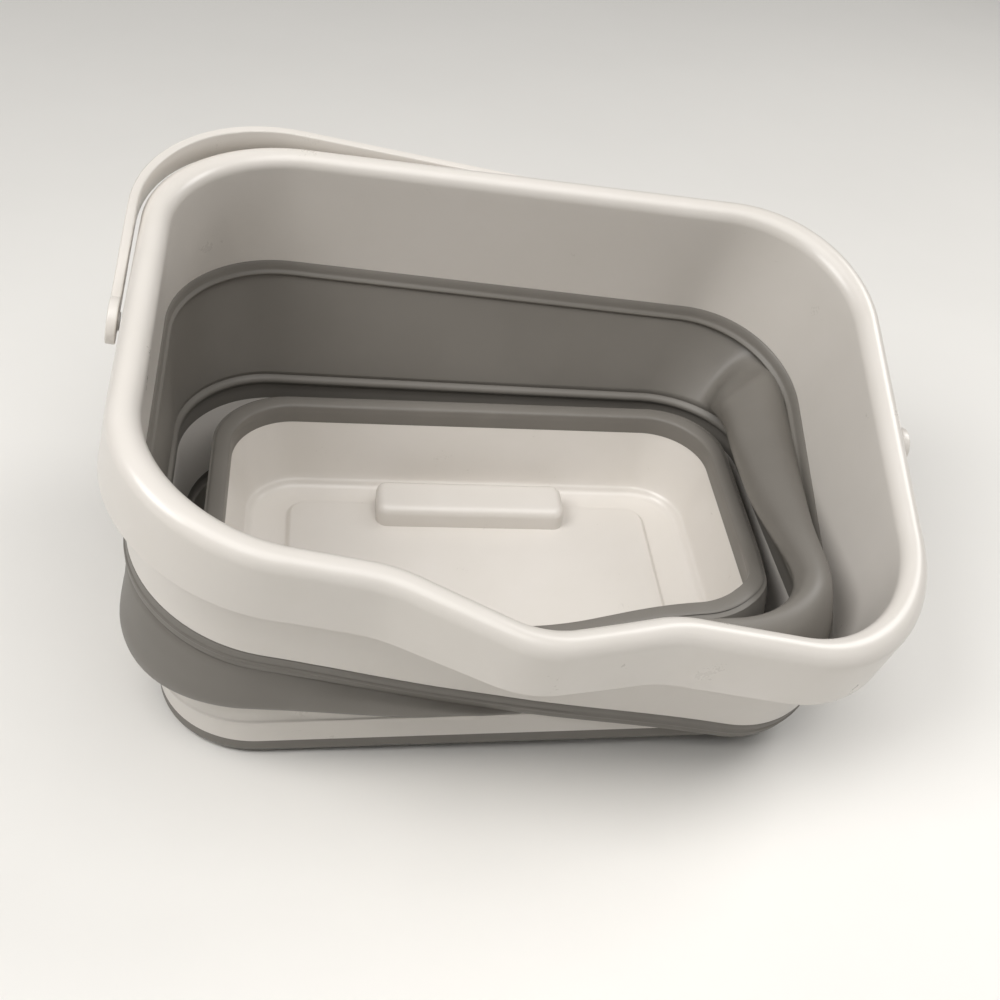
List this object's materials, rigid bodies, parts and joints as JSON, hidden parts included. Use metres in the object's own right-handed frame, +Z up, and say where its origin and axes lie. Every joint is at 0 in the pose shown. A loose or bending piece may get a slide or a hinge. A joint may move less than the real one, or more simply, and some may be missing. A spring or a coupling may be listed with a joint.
{
  "type": "collapsible bucket",
  "caption": "Rectangular collapsible bucket: rigid base, middle ring and rim with pour spout, joined by soft fold bands, and a bail handle round the back.",
  "frame": {"origin": "on the flat of the base's foot, in the middle of the front long side, on the table", "axes": "+X to the right seen from the spout, +Y from the spout to the back, +Z up"},
  "size_m": [0.3738, 0.2888, 0.2009],
  "materials": {
    "rigid_plastic": "satin moulded polypropylene, warm light grey",
    "soft_rubber": "matt moulded elastomer, mid grey"
  },
  "bodies": {
    "base": {"base_tray": "rigid_plastic", "lower_fold_band": "soft_rubber"},
    "middle": {"middle_ring": "rigid_plastic"},
    "carrier": {"upper_fold_band": "soft_rubber"},
    "rim": {"rim_frame": "rigid_plastic", "left_pivot_pin": "rigid_plastic", "right_pivot_pin": "rigid_plastic"},
    "bail": {"bail_handle": "rigid_plastic"}
  },
  "joints": [
    {"name": "lower_fold", "type": "slide", "parent": "base", "child": "middle", "axis": [0, 0, 1], "range_m": [0, 0.1], "deforming": ["lower_fold_band"]},
    {"name": "raise", "type": "hinge", "parent": "middle", "child": "carrier", "pos_m": [-0.0982, 0.1962, 0.0725], "axis": [-0.776, -0.6307, 0], "range_deg": [0, 14.4], "deforming": ["upper_fold_band"]},
    {"name": "press", "type": "hinge", "parent": "carrier", "child": "rim", "pos_m": [0.1465, -0.1048, 0.0235], "axis": [-0.776, -0.6307, 0], "range_deg": [0, 14.4], "deforming": ["upper_fold_band"]},
    {"name": "bail_swing", "type": "hinge", "parent": "rim", "child": "bail", "pos_m": [0.01367, 0.05863, 0.14312], "axis": [0.9875, 0.0154, -0.1568], "range_deg": [0, 155]}
  ]
}
